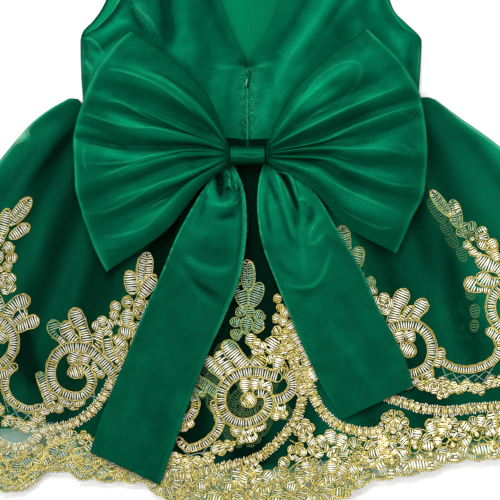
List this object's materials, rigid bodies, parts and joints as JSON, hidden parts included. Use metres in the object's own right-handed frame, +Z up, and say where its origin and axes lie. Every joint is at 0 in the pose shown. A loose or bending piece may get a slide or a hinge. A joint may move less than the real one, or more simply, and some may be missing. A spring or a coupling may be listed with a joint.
{
  "type": "lace formal dress",
  "caption": "Toddler's sleeveless satin dress laid flat on its front, with a V back and zip, a gathered skirt of lining and scalloped embroidered mesh, and a wide satin bow with tails.",
  "frame": {"origin": "middle of the laid dress's outline, on the surface it rests on", "axes": "+Z up, out of the dress's back; +Y towards the neck; +X to the right as the back is seen"},
  "size_m": [0.6024, 0.5016, 0.0246],
  "materials": {
    "satin": "soft-sheened emerald satin",
    "satin_inside": "brighter satin, seen inside the V back",
    "satin_bow": "emerald satin, crisp folds",
    "embroidered_mesh": "fine green mesh with gold and white corded embroidery",
    "skirt_lining": "matt dark green lining",
    "zip_tape": "woven green tape with a closed coil",
    "zip_metal": "green enamelled metal with worn glints"
  },
  "bodies": {
    "dress": {"bodice_front": "satin", "bodice_lining_front": "satin_inside", "bodice_back_left": "satin", "bodice_back_right": "satin", "lace_overlay_front": "embroidered_mesh", "lace_overlay_back": "embroidered_mesh", "skirt_lining_front": "skirt_lining", "skirt_lining_back": "skirt_lining", "bow_loop_left": "satin_bow", "bow_loop_right": "satin_bow", "bow_tail_left": "satin_bow", "bow_tail_right": "satin_bow", "bow_knot": "satin_bow", "zip_tape": "zip_tape", "zip_slider": "zip_metal"},
    "zip_pull": {"zip_pull": "zip_metal"}
  },
  "joints": [
    {"name": "pull_swing", "type": "hinge", "parent": "dress", "child": "zip_pull", "pos_m": [-0.01038, 0.10146, 0.0071], "axis": [-0.9803, 0.1977, 0], "range_deg": [0, 150]}
  ]
}
